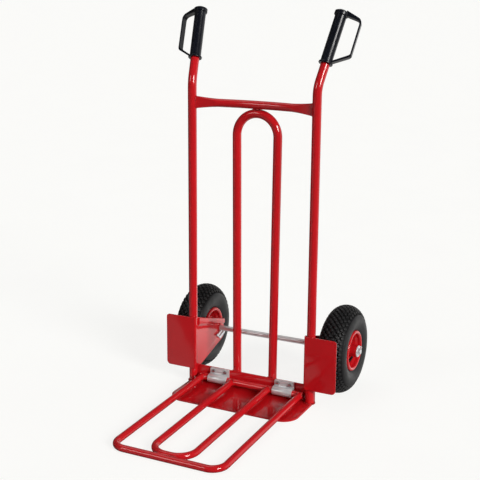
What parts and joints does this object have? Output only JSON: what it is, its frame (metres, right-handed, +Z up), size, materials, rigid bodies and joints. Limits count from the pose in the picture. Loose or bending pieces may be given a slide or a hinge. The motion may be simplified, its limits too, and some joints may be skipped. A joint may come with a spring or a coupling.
{
  "type": "hand truck",
  "caption": "Tubular hand truck with raked handles, guarded grips, pneumatic wheels, a fixed toe plate and a folding tubular toe.",
  "frame": {"origin": "on the floor at the underside of the toe plate, midway between the side tubes and in the plane of their axes", "axes": "+Z up, -Y the way the toe points, +X to the right as seen from in front of the toe"},
  "size_m": [0.5772, 0.7779, 1.1028],
  "materials": {
    "red_paint": "glossy red powder coat",
    "zinc_plate": "bright zinc plate",
    "bearing_steel": "ground steel",
    "tyre_rubber": "matt black rubber",
    "tube_rubber": "smooth black rubber",
    "grip_plastic": "semi-gloss black moulded plastic"
  },
  "bodies": {
    "frame": {"side_tube_left": "red_paint", "side_tube_right": "red_paint", "crossbar": "red_paint", "inner_loop": "red_paint", "loop_saddle": "red_paint", "toe_plate": "red_paint", "axle_bracket_left": "red_paint", "axle_bracket_right": "red_paint", "axle": "zinc_plate", "axle_spacers": "zinc_plate", "axle_washers": "zinc_plate", "split_pins": "zinc_plate", "hinge_clamp_left": "zinc_plate", "hinge_clamp_right": "zinc_plate", "clamp_bolts": "zinc_plate", "clamp_nuts": "zinc_plate", "grip_left": "grip_plastic", "grip_right": "grip_plastic"},
    "folding_toe": {"toe_rod": "red_paint", "toe_outer_loop": "red_paint", "toe_inner_loop": "red_paint"},
    "wheel_left": {"tyre_left": "tyre_rubber", "inner_tube_left": "tube_rubber", "rim_outer_left": "red_paint", "rim_inner_left": "red_paint", "hub_left": "zinc_plate", "bearings_left": "bearing_steel", "rim_bolts_left": "zinc_plate", "rim_nuts_left": "zinc_plate", "valve_left": "tube_rubber"},
    "wheel_right": {"tyre_right": "tyre_rubber", "inner_tube_right": "tube_rubber", "rim_outer_right": "red_paint", "rim_inner_right": "red_paint", "hub_right": "zinc_plate", "bearings_right": "bearing_steel", "rim_bolts_right": "zinc_plate", "rim_nuts_right": "zinc_plate", "valve_right": "tube_rubber"}
  },
  "joints": [
    {"name": "toe_fold", "type": "hinge", "parent": "frame", "child": "folding_toe", "pos_m": [0, -0.00005, 0.022], "axis": [-1, 0, 0], "range_deg": [0, 92]},
    {"name": "wheel_left_spin", "type": "hinge", "parent": "frame", "child": "wheel_left", "pos_m": [-0.232, 0.1395, 0.13], "axis": [1, 0, 0], "continuous": true},
    {"name": "wheel_right_spin", "type": "hinge", "parent": "frame", "child": "wheel_right", "pos_m": [0.232, 0.1395, 0.13], "axis": [1, 0, 0], "continuous": true}
  ]
}
